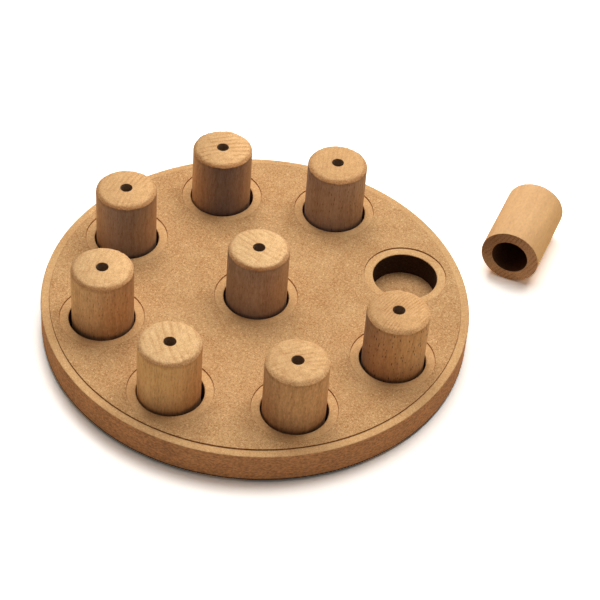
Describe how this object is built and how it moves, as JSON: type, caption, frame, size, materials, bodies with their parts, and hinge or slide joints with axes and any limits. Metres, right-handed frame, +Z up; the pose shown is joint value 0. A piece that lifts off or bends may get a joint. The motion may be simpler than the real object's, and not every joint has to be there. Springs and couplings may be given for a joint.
{
  "type": "dog puzzle feeder toy",
  "caption": "Round wooden board with round pockets that hold hollow wooden blocks; a dog lifts the blocks out to reach treats hidden under them.",
  "frame": {"origin": "under the middle of the board, at floor level, on the bottom of the middle foot", "axes": "+Z up; +Y is the way that the loose block lies, from its open end to its top; the open pocket is 37 degrees anticlockwise from +X"},
  "size_m": [0.2981, 0.3139, 0.0665],
  "materials": {
    "fibreboard": "sanded bare fibreboard",
    "beech": "sanded bare beech",
    "rubber": "matt black rubber"
  },
  "bodies": {
    "board": {"board": "fibreboard", "centre_foot": "rubber", "foot_1": "rubber", "foot_2": "rubber", "foot_3": "rubber", "foot_4": "rubber"},
    "centre_block": {"centre_block": "beech"},
    "block_1": {"block_1": "beech"},
    "block_2": {"block_2": "beech"},
    "block_3": {"block_3": "beech"},
    "block_4": {"block_4": "beech"},
    "block_5": {"block_5": "beech"},
    "block_6": {"block_6": "beech"},
    "block_7": {"block_7": "beech"},
    "loose_block": {"loose_block": "beech"}
  },
  "joints": [
    {"name": "lift_centre_block", "type": "slide", "parent": "board", "child": "centre_block", "axis": [0, 0, 1], "range_m": [0, 0.065]},
    {"name": "lift_block_1", "type": "slide", "parent": "board", "child": "block_1", "axis": [0, 0, 1], "range_m": [0, 0.065]},
    {"name": "lift_block_2", "type": "slide", "parent": "board", "child": "block_2", "axis": [0, 0, 1], "range_m": [0, 0.065]},
    {"name": "lift_block_3", "type": "slide", "parent": "board", "child": "block_3", "axis": [0, 0, 1], "range_m": [0, 0.065]},
    {"name": "lift_block_4", "type": "slide", "parent": "board", "child": "block_4", "axis": [0, 0, 1], "range_m": [0, 0.065]},
    {"name": "lift_block_5", "type": "slide", "parent": "board", "child": "block_5", "axis": [0, 0, 1], "range_m": [0, 0.065]},
    {"name": "lift_block_6", "type": "slide", "parent": "board", "child": "block_6", "axis": [0, 0, 1], "range_m": [0, 0.065]},
    {"name": "lift_block_7", "type": "slide", "parent": "board", "child": "block_7", "axis": [0, 0, 1], "range_m": [0, 0.065]},
    {"name": "lift_loose_block", "type": "slide", "parent": "board", "child": "loose_block", "axis": [0, 0, 1], "range_m": [0, 0.065]}
  ]
}
